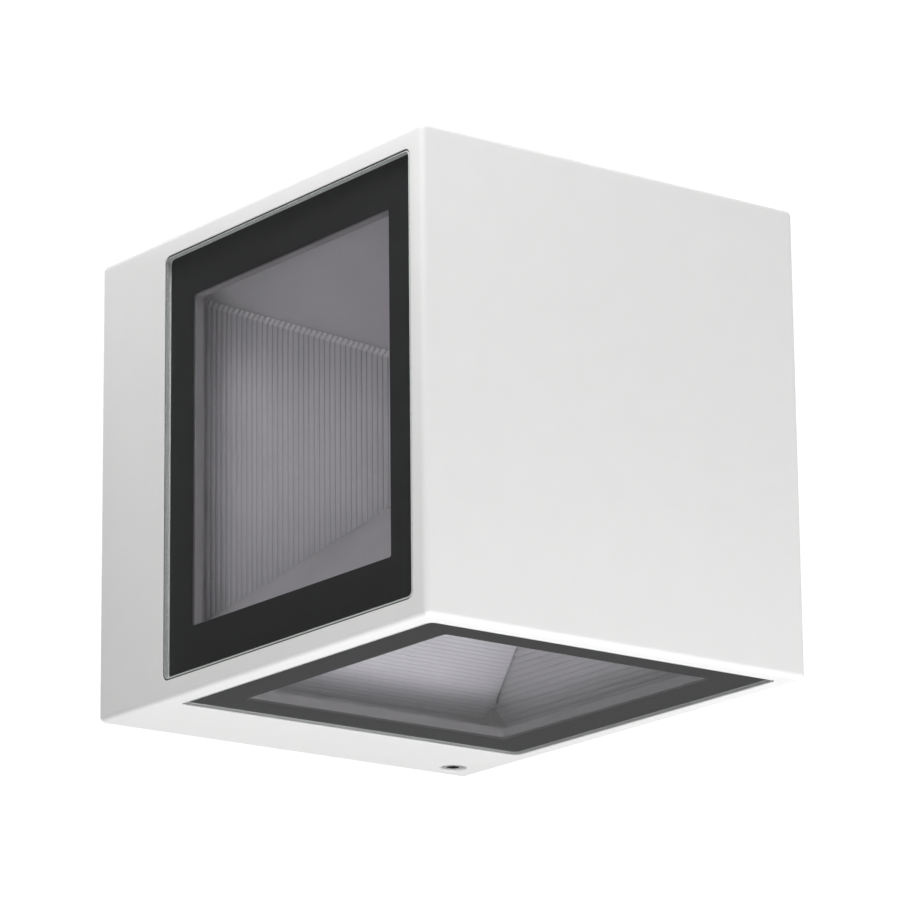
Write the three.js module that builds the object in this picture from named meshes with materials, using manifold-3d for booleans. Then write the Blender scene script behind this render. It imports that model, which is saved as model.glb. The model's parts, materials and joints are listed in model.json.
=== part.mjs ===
// Outdoor wall lantern: a cube-shaped wall luminaire with four glazed sides and a plain front.
// Millimetres, +Z up. The wall is the plane Y = 0 and the lamp stands out towards -Y, so X runs
// along the wall. The origin is the centre of the wall face.

import * as THREE from 'three';
import { mergeVertices } from 'three/addons/utils/BufferGeometryUtils.js';
import { ConvexGeometry } from 'three/addons/geometries/ConvexGeometry.js';
import { RoundedBoxGeometry } from 'three/addons/geometries/RoundedBoxGeometry.js';
import Module from 'manifold-3d';

const wasm = await Module();
wasm.setup();

// ---------------------------------------------------------------- driving dimensions

const WIDTH = 150;            // along the wall, X
const HEIGHT = 156;           // Z
const DEPTH = 178;            // from the wall to the front face
const EDGE_RADIUS = 2;        // rounding of the casting's outer edges
const FIT = 0.3;              // clearance between touching pieces

const FRONT_WALL = 5;         // thickness of the casting's front
const SIDE_WALL = 8;          // thickness of the casting's four sides, which hold the panes
const REAR_DEPTH = 31;        // depth of the rear compartment, up to the carrier's pads

const PANE_MARGIN = 7;        // from the pane to the casting's edges
const PANE_START = 37;        // from the wall to the pane
const PANE_THICKNESS = 4;
const PANE_RADIUS = 2.2;      // plan radius of the pane's corners
const PANE_CHAMFER = 0.7;     // ground edge of the pane
const PANE_GAP = 0.5;         // open joint round the pane
const PANE_RECESS = 0.1;      // how far the pane sits below the casting
const SEAL_THICKNESS = 0.9;   // silicone bed under the pane
const SEAL_WIDTH = 8;         // breadth of that bed
const SEAL_INSET = 1.5;       // and how far it lies inside the pane's edge
const BEAD_DEPTH = 1.1;       // top of the silicone in the joint round the pane, below the casting
const PRINT_SHORT = 13.5;     // opaque border at the wall and front ends of a pane
const PRINT_LONG = 15.5;      // opaque border along its two long sides

const APEX = 174;             // distance of the pyramid's ideal tip from the wall
const PYRAMID_BASE = 33;      // distance of the pyramid's base from the wall
const SLOPE_X = 0.43;         // half width of the pyramid gained for each mm back from the tip
const SLOPE_Z = 0.447;
const PANEL_END = 160;        // where the sheet panels stop and the nose begins
const PANEL_THICKNESS = 1;
const RIB_PITCH = 1.98;       // measured along the panel
const RIB_HEIGHT = 0.6;

const DIVIDER_START = 39;
const DIVIDER_END = 170.2;
const DIVIDER_THICKNESS = 1.2;
const LOWER_CHEEK = 6.2;      // extra thickness of the lower dividers towards the side chambers
const DIVIDER_RIB_PITCH = 2.2;
const DIVIDER_RIB_HEIGHT = 0.55;
const DIVIDER_CLEAR = 4.5;    // the dividers keep this far from the lamp's axis

const NOSE_TIP = 166;         // front end of the nose, from the wall
const NOSE_BORE = 2.3;        // the LED leads pass through it

const CARRIER_THICKNESS = 2.5;
const GASKET_WIDTH = 2;       // rubber profile round the carrier's edge
const PAD_SIZE = 10;          // square pads in the casting's corners, which the carrier rests on
const PAD_LENGTH = 7;

const PLATE_THICKNESS = 3;
const PLATE_CLEARANCE = 0.7;  // between the wall plate and the housing's inside
const TAB_THICKNESS = 2;
const TAB_LENGTH = 20;

const FIXING_X = 62.5;        // fixing screw, from the middle of the lamp
const FIXING_Y = -9;          // and from the wall
const M5_HEAD_RADIUS = 4.25;
const M5_HEAD_HEIGHT = 4.2;
const M5_SHANK_RADIUS = 2.4;
const M5_HOLE_RADIUS = 2.65;
const M5_SOCKET_FLATS = 4;
const COUNTERBORE_RADIUS = 4.8;
const COUNTERBORE_DEPTH = 5.2;

const HEAD_RECESS = 0.3;      // the fixing screw's head lies this far inside the casting's face
const O_RING_HEIGHT = 0.6;

// Small cross-head screws. Their holes are wider than the shank by SCREW_PLAY all round.
const SCREWS = {
  carrier: { head: 2.8, height: 2, shank: 1.4, length: 8 },
  board: { head: 2.4, height: 1.6, shank: 1, length: 4.8 },
  driver: { head: 2.8, height: 2, shank: 1.2, length: 4.4 },
  terminal: { head: 2.8, height: 2, shank: 1.2, length: 5.6 },
  earth: { head: 3.5, height: 2.4, shank: 1.5, length: 2.8 },
};
const SCREW_PLAY = 0.3;
const SEAT = 0.1;             // gap left between pieces that are screwed or clipped together

const BOARD_SIZE = 60;
const BOARD_THICKNESS = 1.6;
const BOARD_SCREW_INSET = 3.5;
const THERMAL_PAD = 0.4;
const LED_OFFSET = 20;        // LEDs, from the middle of the board
const LENS = { base: 3, dome: 2.6, rise: 0.9 };

const DRIVER = { width: 76, height: 44, thickness: 19, z: 34, ear: 8, earHalf: 5, earThickness: 2 };
const SOCKET_BLOCK = { width: 40, height: 18, thickness: 12, x: -20, z: -32, foot: 8, footThickness: 3 };
const PLUG_BLOCK = { width: 36, height: 14, thickness: 10 };
const WIRE_PORT = { radius: 1.8, depth: 6, fromWall: 7 };
const GROMMET = { bore: 2.4, neck: 3.8, flange: 6, lip: 1.5 };
const PIN_PITCH = 10;
const PIN_RADIUS = 1.2;
const PIN_LENGTH = 7;
const LEAD_RADIUS = 0.8;
const MAINS_LEAD_RADIUS = 1.2;

const GROOVE_INSET = 3;       // seal groove in the rear rim, from the outer face
const GROOVE_WIDTH = 3;
const GROOVE_DEPTH = 2.2;
const GROOVE_SLACK = 0.2;     // between the groove and the seal in it
const RIM_GAP = 0.4;          // between the rear rim and the wall

const CABLE_HOLE = { x: 32, z: -14, radius: 8, bore: 4, lip: 2.5, rise: 2 };
const EARTH = { x: -52, z: -6 };
const SLOT = { x: 52, z: 46, radius: 2.75, length: 14 };
const TOP_TAB_HALF = 40;      // half length of the wall plate's upper tab
const SCREW_TAB_REACH = 11;   // the lower tab, inward from the fixing screw

const OVER = 5;               // how far a cutting tool runs past the face that it cuts

// ---------------------------------------------------------------- derived sizes

const HALF_W = WIDTH / 2;
const HALF_H = HEIGHT / 2;
const INNER_X = HALF_W - SIDE_WALL;
const INNER_Z = HALF_H - SIDE_WALL;
const FRONT_INSIDE = -DEPTH + FRONT_WALL;
const PANE_END = DEPTH - PANE_MARGIN;
const PANE_LENGTH = PANE_END - PANE_START;
const PANE_Y = -(PANE_START + PANE_END) / 2;
const POCKET_DEPTH = PANE_RECESS + PANE_THICKNESS + SEAL_THICKNESS;
const CARRIER_BACK = -REAR_DEPTH + CARRIER_THICKNESS + SEAT;
const CARRIER_TOP = CARRIER_BACK + SEAT;  // wall-side face that the carrier's parts stand on
const BOARD_BACK = FRONT_INSIDE + THERMAL_PAD + BOARD_THICKNESS;

// ---------------------------------------------------------------- solid helpers

// A closed three.js geometry as a manifold solid.
function solid(geometry) {
  const bare = geometry.clone();
  bare.deleteAttribute('normal');
  bare.deleteAttribute('uv');
  const merged = mergeVertices(bare, 1e-4);
  return new wasm.Manifold(new wasm.Mesh({
    numProp: 3,
    vertProperties: new Float32Array(merged.attributes.position.array),
    triVerts: new Uint32Array(merged.index.array),
  }));
}

// A manifold solid back as a three.js geometry.
function geometryOf(body) {
  const mesh = body.getMesh();
  const geometry = new THREE.BufferGeometry();
  geometry.setAttribute('position', new THREE.BufferAttribute(mesh.vertProperties, 3));
  geometry.setIndex(new THREE.BufferAttribute(mesh.triVerts, 1));
  return geometry;
}

// A box given by its low and high corners.
function block(low, high) {
  const size = high.map((value, axis) => value - low[axis]);
  const geometry = new THREE.BoxGeometry(...size);
  geometry.translate(...low.map((value, axis) => value + size[axis] / 2));
  return solid(geometry);
}

// A cylinder along Y between two distances.
function rodY(radius, x, z, yLow, yHigh, sides = 16) {
  const geometry = new THREE.CylinderGeometry(radius, radius, yHigh - yLow, sides);
  geometry.translate(x, (yLow + yHigh) / 2, z);
  return solid(geometry);
}

// A cylinder along Z between two heights.
function rodZ(radius, x, y, zLow, zHigh, sides = 24) {
  const geometry = new THREE.CylinderGeometry(radius, radius, zHigh - zLow, sides);
  geometry.rotateX(Math.PI / 2);
  geometry.translate(x, y, (zLow + zHigh) / 2);
  return solid(geometry);
}

// An outline in the XZ plane, as [x, z] points, extruded along Y.
function prismY(points, yLow, yHigh) {
  const shape = new THREE.Shape(points.map(([x, z]) => new THREE.Vector2(x, -z)));
  const geometry = new THREE.ExtrudeGeometry(shape, { depth: yHigh - yLow, bevelEnabled: false });
  geometry.rotateX(-Math.PI / 2);
  geometry.translate(0, yLow, 0);
  return solid(geometry);
}

// An outline in the XY plane, as [x, y] points, extruded along Z about the middle.
function prismZ(points, length) {
  const shape = new THREE.Shape(points.map(([x, y]) => new THREE.Vector2(x, y)));
  const geometry = new THREE.ExtrudeGeometry(shape, { depth: length, bevelEnabled: false });
  geometry.translate(0, 0, -length / 2);
  return solid(geometry);
}

// A rectangle with rounded corners as a three.js Shape.
function roundedRectangle(width, height, radius) {
  const x = width / 2;
  const y = height / 2;
  const shape = new THREE.Shape();
  shape.absarc(x - radius, y - radius, radius, 0, Math.PI / 2);
  shape.absarc(-x + radius, y - radius, radius, Math.PI / 2, Math.PI);
  shape.absarc(-x + radius, -y + radius, radius, Math.PI, Math.PI * 1.5);
  shape.absarc(x - radius, -y + radius, radius, Math.PI * 1.5, Math.PI * 2);
  return shape;
}

// A rounded slab lying in the plane of a window: width across, length along Y, top face at height 0.
function slab(width, length, thickness, radius, chamfer = 0) {
  const inner = Math.max(radius - chamfer, 0.3);
  const shape = roundedRectangle(width - 2 * chamfer, length - 2 * chamfer, inner);
  const geometry = new THREE.ExtrudeGeometry(shape, {
    depth: thickness - 2 * chamfer,
    bevelEnabled: chamfer > 0,
    bevelThickness: chamfer,
    bevelSize: chamfer,
    bevelSegments: 1,
    curveSegments: 3,
  });
  geometry.translate(0, PANE_Y, -thickness + chamfer);
  return solid(geometry);
}

// The pyramid's four sloping planes, moved out by grow, as one solid from base to tip.
function pyramid(grow, base = PYRAMID_BASE - 6) {
  const tip = APEX + grow / SLOPE_X;
  const x = (tip - base) * SLOPE_X;
  const z = (tip - base) * SLOPE_Z;
  const corners = CORNERS.map(([sx, sz]) => new THREE.Vector3(sx * x, -base, sz * z));
  return solid(new ConvexGeometry([...corners, new THREE.Vector3(0, -tip, 0)]));
}

const CORNERS = [[1, 1], [-1, 1], [-1, -1], [1, -1]];

// Mirrors a piece made in the corner of positive X and Z into another corner.
function inCorner(body, signX, signZ) {
  const flipped = signX < 0 ? body.mirror([1, 0, 0]) : body;
  return signZ < 0 ? flipped.mirror([0, 0, 1]) : flipped;
}

// The four sides of the lamp: turn about Y that brings a piece made for the top to its side.
const SIDES = [
  { name: 'top', turn: 0, reach: HALF_H, across: WIDTH },
  { name: 'right', turn: 90, reach: HALF_W, across: HEIGHT },
  { name: 'bottom', turn: 180, reach: HALF_H, across: WIDTH },
  { name: 'left', turn: 270, reach: HALF_W, across: HEIGHT },
];

// Moves a piece made in a window's own frame (outer face at height 0) to its side of the lamp.
function toSide(body, side) {
  return body.translate([0, 0, side.reach]).rotate([0, side.turn, 0]);
}

// ---------------------------------------------------------------- materials

function material(colour, roughness, metalness = 0) {
  return new THREE.MeshStandardMaterial({ color: colour, roughness, metalness });
}

const powderCoat = () => material(0xe8e7e6, 0.55);
const glass = () => material(0x9a9aa2, 0.08);
const silicone = () => material(0x1d1e20, 0.6);
const thermalFoil = () => material(0x8f9092, 0.8);
const reflectorSheet = () => material(0xb9b8bf, 0.35, 0.8);
const greyPlastic = () => material(0x8b888b, 0.5);
const blackRubber = () => material(0x1b1c1e, 0.85);
const steel = () => material(0xb7b9bb, 0.3, 1);
const galvanised = () => material(0xa7abad, 0.45, 0.9);
const whiteBoard = () => material(0xf2f3f1, 0.5);
const paleYellow = () => material(0xe7cf5a, 0.4);
const driverCase = () => material(0xdfe0dd, 0.55);
const blueLead = () => material(0x2b57a5, 0.5);
const brownLead = () => material(0x6b3f26, 0.5);
const earthLead = () => material(0x6f9a2f, 0.5);
const redLead = () => material(0xb5312b, 0.5);
const blackLead = () => material(0x222222, 0.5);

// ---------------------------------------------------------------- housing

// The casting's outer block: rounded at the front and along the sides, cut square at the rear rim.
function outerBlock() {
  const spare = 10;
  const geometry = new RoundedBoxGeometry(WIDTH, DEPTH + spare, HEIGHT, 3, EDGE_RADIUS);
  geometry.translate(0, (spare - DEPTH) / 2, 0);
  const behind = block([-WIDTH, -RIM_GAP, -HEIGHT], [WIDTH, spare * 2, HEIGHT]);
  return solid(geometry).subtract(behind);
}

// Square frame round the Y axis between two half sizes.
function frameY(outX, outZ, inX, inZ, yLow, yHigh) {
  const outer = block([-outX, yLow, -outZ], [outX, yHigh, outZ]);
  return outer.subtract(block([-inX, yLow - 1, -inZ], [inX, yHigh + 1, inZ]));
}

// Takes a round hole along Y for a small screw out of a piece.
function drilled(body, screw, x, z, yLow, yHigh) {
  return body.subtract(rodY(screw.shank + SCREW_PLAY, x, z, yLow, yHigh, 12));
}

function carrierScrewPlaces() {
  const x = INNER_X - PAD_SIZE / 2;
  const z = INNER_Z - PAD_SIZE / 2;
  return CORNERS.map(([sx, sz]) => [sx * x, sz * z]);
}

function boardScrewPlaces() {
  const x = BOARD_SIZE / 2 - BOARD_SCREW_INSET;
  return [[x, 0], [-x, 0]];
}

// Pocket for the pane and the light opening behind it, in a window's own frame.
function windowCut(side) {
  const across = side.across - 2 * PANE_MARGIN;
  const pocketAcross = across + 2 * PANE_GAP;
  const pocketLong = PANE_LENGTH + 2 * PANE_GAP;
  const pocket = slab(pocketAcross, pocketLong, POCKET_DEPTH + OVER, PANE_RADIUS + PANE_GAP);
  const opening = slab(across - 2 * PRINT_LONG, PANE_LENGTH - 2 * PRINT_SHORT, SIDE_WALL + 2 * OVER, 1);
  return pocket.translate([0, 0, OVER]).add(opening.translate([0, 0, OVER]));
}

// One of the corner pads that the carrier is screwed to, moved out by grow.
function cornerPad(grow, signX, signZ) {
  const pad = block([INNER_X - PAD_SIZE - grow, -REAR_DEPTH - PAD_LENGTH - grow, INNER_Z - PAD_SIZE - grow],
    [INNER_X + 1, -REAR_DEPTH + grow, INNER_Z + 1]);
  return inCorner(pad, signX, signZ);
}

// Takes the room of the four corner pads out of a piece.
function clearOfPads(body) {
  return CORNERS.reduce((rest, [sx, sz]) => rest.subtract(cornerPad(FIT, sx, sz)), body);
}

function housing() {
  const cavity = block([-INNER_X, FRONT_INSIDE, -INNER_Z], [INNER_X, OVER, INNER_Z]);
  const grooveX = HALF_W - GROOVE_INSET;
  const grooveZ = HALF_H - GROOVE_INSET;
  const groove = frameY(grooveX, grooveZ, grooveX - GROOVE_WIDTH, grooveZ - GROOVE_WIDTH,
    -RIM_GAP - GROOVE_DEPTH, OVER);
  let body = outerBlock().subtract(cavity).subtract(groove);
  for (const [sx, sz] of CORNERS) body = body.add(cornerPad(0, sx, sz));
  for (const side of SIDES) body = body.subtract(toSide(windowCut(side), side));
  const padHole = -REAR_DEPTH - PAD_LENGTH + 1;
  for (const [x, z] of carrierScrewPlaces()) {
    body = drilled(body, SCREWS.carrier, x, z, padHole, -REAR_DEPTH + 1);
  }
  const frontHole = BOARD_BACK + SEAT - SCREWS.board.length - SCREW_PLAY;
  for (const [x, z] of boardScrewPlaces()) {
    body = drilled(body, SCREWS.board, x, z, frontHole, FRONT_INSIDE + 1);
  }
  const below = -HALF_H - OVER;
  const seat = -HALF_H + COUNTERBORE_DEPTH;
  return body
    .subtract(rodZ(COUNTERBORE_RADIUS, FIXING_X, FIXING_Y, below, seat, 40))
    .subtract(rodZ(M5_HOLE_RADIUS, FIXING_X, FIXING_Y, below, 0));
}

function wallSeal() {
  const outX = HALF_W - GROOVE_INSET - GROOVE_SLACK;
  const outZ = HALF_H - GROOVE_INSET - GROOVE_SLACK;
  const width = GROOVE_WIDTH - 2 * GROOVE_SLACK;
  const yLow = -RIM_GAP - GROOVE_DEPTH + GROOVE_SLACK;
  return frameY(outX, outZ, outX - width, outZ - width, yLow, -SEAT);
}

// ---------------------------------------------------------------- windows

function pane(side) {
  const across = side.across - 2 * PANE_MARGIN;
  const body = slab(across, PANE_LENGTH, PANE_THICKNESS, PANE_RADIUS, PANE_CHAMFER);
  return toSide(body.translate([0, 0, -PANE_RECESS]), side);
}

// A rounded ring in a window's own frame, between two distances outside the pane's edge.
function paneRing(side, outer, inner, top, bottom) {
  const across = side.across - 2 * PANE_MARGIN;
  const height = top - bottom;
  const ring = slab(across + 2 * outer, PANE_LENGTH + 2 * outer, height, PANE_RADIUS + outer);
  const holeRadius = Math.max(PANE_RADIUS + inner, 1);
  const hole = slab(across + 2 * inner, PANE_LENGTH + 2 * inner, height + 2, holeRadius);
  return ring.subtract(hole.translate([0, 0, 1])).translate([0, 0, top]);
}

// Silicone under the pane's border and up the joint round it.
function paneSeal(side) {
  const slack = 0.05;
  const paneBack = -PANE_RECESS - PANE_THICKNESS;
  const bottom = -POCKET_DEPTH + slack;
  const bed = paneRing(side, PANE_GAP - slack, -SEAL_INSET - SEAL_WIDTH, paneBack - slack, bottom);
  const bead = paneRing(side, PANE_GAP - slack, slack, -BEAD_DEPTH, bottom);
  return toSide(bed.add(bead), side);
}

// ---------------------------------------------------------------- reflector

// Saw-tooth ribs along a line from (0, 0) in direction +s, as [s, height] points.
function ribLine(length, pitch, height) {
  const count = Math.floor(length / pitch);
  const points = [];
  for (let i = 0; i < count; i += 1) {
    points.push([i * pitch, 0]);
    points.push([(i + 0.5) * pitch, height]);
  }
  points.push([count * pitch, 0]);
  return points;
}

// One ribbed face of the pyramid. It is made facing -X with its ribs upright.
function ribbedPanel(slopeOut, slopeAcross) {
  const start = [-(APEX - PYRAMID_BASE) * slopeOut, -PYRAMID_BASE];
  const run = PANEL_END - PYRAMID_BASE;
  const length = run * Math.hypot(1, slopeOut);
  const along = [slopeOut * run / length, -run / length];
  const outward = [along[1], -along[0]];
  const place = ([s, h]) => [
    start[0] + along[0] * s + outward[0] * (h - RIB_HEIGHT),
    start[1] + along[1] * s + outward[1] * (h - RIB_HEIGHT),
  ];
  const ribs = ribLine(length, RIB_PITCH, RIB_HEIGHT);
  const end = ribs[ribs.length - 1][0];
  const outline = [...ribs, [end, -PANEL_THICKNESS], [0, -PANEL_THICKNESS]].map(place);
  const strip = prismZ(outline.reverse(), HEIGHT);
  const ratio = slopeAcross / slopeOut;
  const corners = [[-FIT, 0], [-FIT - WIDTH, WIDTH * ratio], [-FIT - WIDTH, -WIDTH * ratio]];
  return strip.intersect(prismY(corners, -DEPTH, 0));
}

// The panel for a side: the one made facing -X, turned to face that side.
function reflectorPanel(side) {
  const sideways = side.name === 'left' || side.name === 'right';
  const panel = sideways ? ribbedPanel(SLOPE_X, SLOPE_Z) : ribbedPanel(SLOPE_Z, SLOPE_X);
  const madeFacing = 270;
  return clearOfPads(panel.rotate([0, side.turn - madeFacing, 0]));
}

function reflectorNose() {
  const half = HALF_W / 2;
  const keep = block([-half, -NOSE_TIP, -half], [half, -PANEL_END - FIT, half]);
  const shrink = -0.4;
  return pyramid(shrink).intersect(keep).subtract(rodY(NOSE_BORE, 0, 0, -DEPTH, 0, 20));
}

function reflectorBaseRing() {
  const x = (APEX - PYRAMID_BASE) * SLOPE_X;
  const z = (APEX - PYRAMID_BASE) * SLOPE_Z;
  const width = 6;
  const front = -PYRAMID_BASE + PANEL_THICKNESS;
  return clearOfPads(frameY(x, z, x - width, z - width, front, -REAR_DEPTH));
}

// A divider in the XZ plane, for the corner where x and z are positive.
function dividerOutline(cheek) {
  const corner = [INNER_X - FIT, (INNER_X - FIT) * SLOPE_Z / SLOPE_X];
  const length = Math.hypot(...corner);
  const along = corner.map((value) => value / length);
  const up = [-along[1], along[0]];
  const place = ([s, h]) => [along[0] * s + up[0] * h, along[1] * s + up[1] * h];
  const ribs = ribLine(length, DIVIDER_RIB_PITCH, DIVIDER_RIB_HEIGHT);
  const end = ribs[ribs.length - 1][0];
  const back = -DIVIDER_THICKNESS - cheek;
  const cut = cheek * 0.6;
  const nose = cheek > 0 ? [[cut, back], [0, back + cut]] : [[0, back]];
  return [...ribs, [end, back], ...nose].map(place);
}

// The divider between two neighbouring chambers, ribbed towards the top or bottom one.
function divider(cheek) {
  const chamber = block([0, FRONT_INSIDE, 1], [INNER_X - FIT, -REAR_DEPTH, INNER_Z - FIT]);
  const middle = block([-HALF_W, -DEPTH, -HALF_H], [DIVIDER_CLEAR, 0, DIVIDER_CLEAR]);
  const plate = prismY(dividerOutline(cheek), -DIVIDER_END, -DIVIDER_START);
  return plate.intersect(chamber).subtract(pyramid(FIT + SEAT)).subtract(middle);
}

// ---------------------------------------------------------------- carrier

function carrierPlate() {
  const x = INNER_X - GASKET_WIDTH - FIT;
  const z = INNER_Z - GASKET_WIDTH - FIT;
  const front = CARRIER_BACK - CARRIER_THICKNESS;
  let body = block([-x, front, -z], [x, CARRIER_BACK, z]);
  for (const [px, pz] of carrierScrewPlaces()) {
    body = drilled(body, SCREWS.carrier, px, pz, -REAR_DEPTH, 0);
  }
  for (const [px, pz] of driverScrewPlaces()) {
    body = drilled(body, SCREWS.driver, px, pz, -REAR_DEPTH, 0);
  }
  return body.subtract(rodY(GROMMET.neck + GROOVE_SLACK, 0, 0, front - 1, 0));
}

function carrierGasket() {
  const x = INNER_X - SEAT;
  const z = INNER_Z - SEAT;
  const above = 0.5;
  return frameY(x, z, x - GASKET_WIDTH, z - GASKET_WIDTH, -REAR_DEPTH + SEAT, CARRIER_BACK + above);
}

// A cross-head screw along Y: its head's underside at y. Its head faces the wall, or the front when
// facing is -1.
function screwY(x, z, y, screw, facing = 1) {
  const { head, height, shank, length } = screw;
  const profile = [
    [0, -length], [shank, -length], [shank, 0], [head, 0],
    [head, height * 0.6], [head * 0.6, height], [0, height],
  ].map(([r, h]) => new THREE.Vector2(r, h));
  const reach = head * 0.55;
  const half = 0.4;
  const floor = height * 0.5;
  const slot = block([-reach, floor, -half], [reach, height + 1, half]);
  const cross = block([-half, floor, -reach], [half, height + 1, reach]);
  const body = solid(new THREE.LatheGeometry(profile, 12)).subtract(slot).subtract(cross);
  return body.rotate([facing < 0 ? 180 : 0, 0, 0]).translate([x, y, z]);
}

function grommet() {
  const { bore, neck, flange, lip } = GROMMET;
  const front = CARRIER_BACK - CARRIER_THICKNESS;
  const body = rodY(neck, 0, 0, front - lip, CARRIER_BACK + lip)
    .add(rodY(flange, 0, 0, CARRIER_BACK + SEAT, CARRIER_BACK + lip))
    .add(rodY(flange, 0, 0, front - lip, front - SEAT));
  return body.subtract(rodY(bore, 0, 0, -DEPTH, 0, 16));
}

// ---------------------------------------------------------------- light source

function ledBoard() {
  const half = BOARD_SIZE / 2;
  let body = block([-half, BOARD_BACK - BOARD_THICKNESS, -half], [half, BOARD_BACK, half]);
  for (const [x, z] of boardScrewPlaces()) body = drilled(body, SCREWS.board, x, z, -DEPTH, 0);
  return body;
}

function thermalPad() {
  const half = BOARD_SIZE / 2 - 2 * BOARD_SCREW_INSET - 1;
  const slack = 0.05;
  const low = FRONT_INSIDE + slack;
  return block([-half, low, -half], [half, FRONT_INSIDE + THERMAL_PAD - slack, half]);
}

// A lensed LED on the board, its dome towards the wall.
function led(x, z) {
  const { base, dome, rise } = LENS;
  const profile = [[0, 0], [base, 0], [base, rise]];
  const steps = 3;
  for (let i = 0; i < steps; i += 1) {
    const angle = (i / steps) * Math.PI / 2;
    profile.push([dome * Math.cos(angle), rise + dome * Math.sin(angle)]);
  }
  profile.push([0, rise + dome]);
  const geometry = new THREE.LatheGeometry(profile.map(([r, h]) => new THREE.Vector2(r, h)), 12);
  geometry.translate(x, BOARD_BACK + SEAT / 2, z);
  return solid(geometry);
}

// ---------------------------------------------------------------- electrics

function driverScrewPlaces() {
  const x = DRIVER.width / 2 + DRIVER.ear / 2;
  return [[x, DRIVER.z], [-x, DRIVER.z]];
}

function driver() {
  const { width, height, thickness, z, ear, earHalf, earThickness } = DRIVER;
  const casing = new RoundedBoxGeometry(width, thickness, height, 2, 1.5);
  casing.translate(0, CARRIER_TOP + thickness / 2, z);
  const reach = width / 2 + ear;
  const ears = block([-reach, CARRIER_TOP, z - earHalf], [reach, CARRIER_TOP + earThickness, z + earHalf]);
  let body = solid(casing).add(ears);
  for (const [x] of driverScrewPlaces()) body = drilled(body, SCREWS.driver, x, z, -REAR_DEPTH, 0);
  return body;
}

function pinPlaces() {
  return [-1, 0, 1].map((step) => SOCKET_BLOCK.x + step * PIN_PITCH);
}

// The lamp's half of the mains connector, with three pins towards the wall.
function plugConnector() {
  const { x, z } = SOCKET_BLOCK;
  const half = PLUG_BLOCK.width / 2;
  const tall = PLUG_BLOCK.height / 2;
  const face = CARRIER_TOP + PLUG_BLOCK.thickness;
  let body = block([x - half, CARRIER_TOP, z - tall], [x + half, face, z + tall]);
  for (const px of pinPlaces()) body = body.add(rodY(PIN_RADIUS, px, z, face - 1, face + PIN_LENGTH, 12));
  return body;
}

function terminalScrewPlaces() {
  const reach = SOCKET_BLOCK.width / 2 + SOCKET_BLOCK.foot / 2;
  return [[SOCKET_BLOCK.x + reach, SOCKET_BLOCK.z], [SOCKET_BLOCK.x - reach, SOCKET_BLOCK.z]];
}

function terminalBlock() {
  const { x, z, foot, footThickness, thickness } = SOCKET_BLOCK;
  const yHigh = -PLATE_THICKNESS - SEAT;
  const yLow = yHigh - thickness;
  const half = SOCKET_BLOCK.width / 2;
  const tall = SOCKET_BLOCK.height / 2;
  const feet = block([x - half - foot, yHigh - footThickness, z - DRIVER.earHalf],
    [x + half + foot, yHigh, z + DRIVER.earHalf]);
  let body = block([x - half, yLow, z - tall], [x + half, yHigh, z + tall]).add(feet);
  for (const px of pinPlaces()) {
    const pinHole = rodY(PIN_RADIUS + 0.35, px, z, yLow - 1, yHigh - 2, 12);
    const port = rodZ(WIRE_PORT.radius, px, yHigh - WIRE_PORT.fromWall, z - tall - 1,
      z - tall + WIRE_PORT.depth, 12);
    body = body.subtract(pinHole).subtract(port);
  }
  for (const [sx] of terminalScrewPlaces()) body = drilled(body, SCREWS.terminal, sx, z, yLow, OVER);
  return body;
}

// A lead of round section along a smooth curve through the given points.
function lead(points, radius) {
  const curve = new THREE.CatmullRomCurve3(points.map((point) => new THREE.Vector3(...point)));
  const section = new THREE.Shape();
  section.absarc(0, 0, radius, 0, Math.PI * 2);
  return solid(new THREE.ExtrudeGeometry(section, {
    steps: points.length * 3,
    curveSegments: 4,
    bevelEnabled: false,
    extrudePath: curve,
  }));
}

// One of three leads from the connector up to the driver, bowed slightly sideways.
function mainsLead(index) {
  const x = pinPlaces()[index];
  const y = CARRIER_BACK + 5;
  const low = SOCKET_BLOCK.z + PLUG_BLOCK.height / 2 + FIT;
  const high = DRIVER.z - DRIVER.height / 2 - FIT;
  const bow = 2.5;
  const bend = 10;
  return lead([
    [x, y, low],
    [x + bow, y + 1, low + bend],
    [x + bow, y + 1, high - bend],
    [x, y, high],
  ], MAINS_LEAD_RADIUS);
}

// A lead from the driver through the grommet and along the lamp's axis to the LED board.
function ledLead(side) {
  const x = side * (LEAD_RADIUS + FIT);
  const start = DRIVER.z - DRIVER.height / 2 - FIT;
  const arch = CARRIER_BACK + 9;
  return lead([
    [x * 4, arch, start],
    [x * 2, arch, start * 0.45],
    [x, CARRIER_BACK + 4, start * 0.05],
    [x, CARRIER_BACK - 6, 0],
    [x, -PANEL_END / 2, 0],
    [x, -PANEL_END, 0],
    [x, BOARD_BACK + FIT, 0],
  ], LEAD_RADIUS);
}

// ---------------------------------------------------------------- wall plate

function slotCut(x, z) {
  const reach = SLOT.length / 2 - SLOT.radius;
  const low = -PLATE_THICKNESS - OVER;
  const middle = block([x - reach, low, z - SLOT.radius], [x + reach, OVER, z + SLOT.radius]);
  return middle
    .add(rodY(SLOT.radius, x - reach, z, low, OVER, 16))
    .add(rodY(SLOT.radius, x + reach, z, low, OVER, 16));
}

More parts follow.
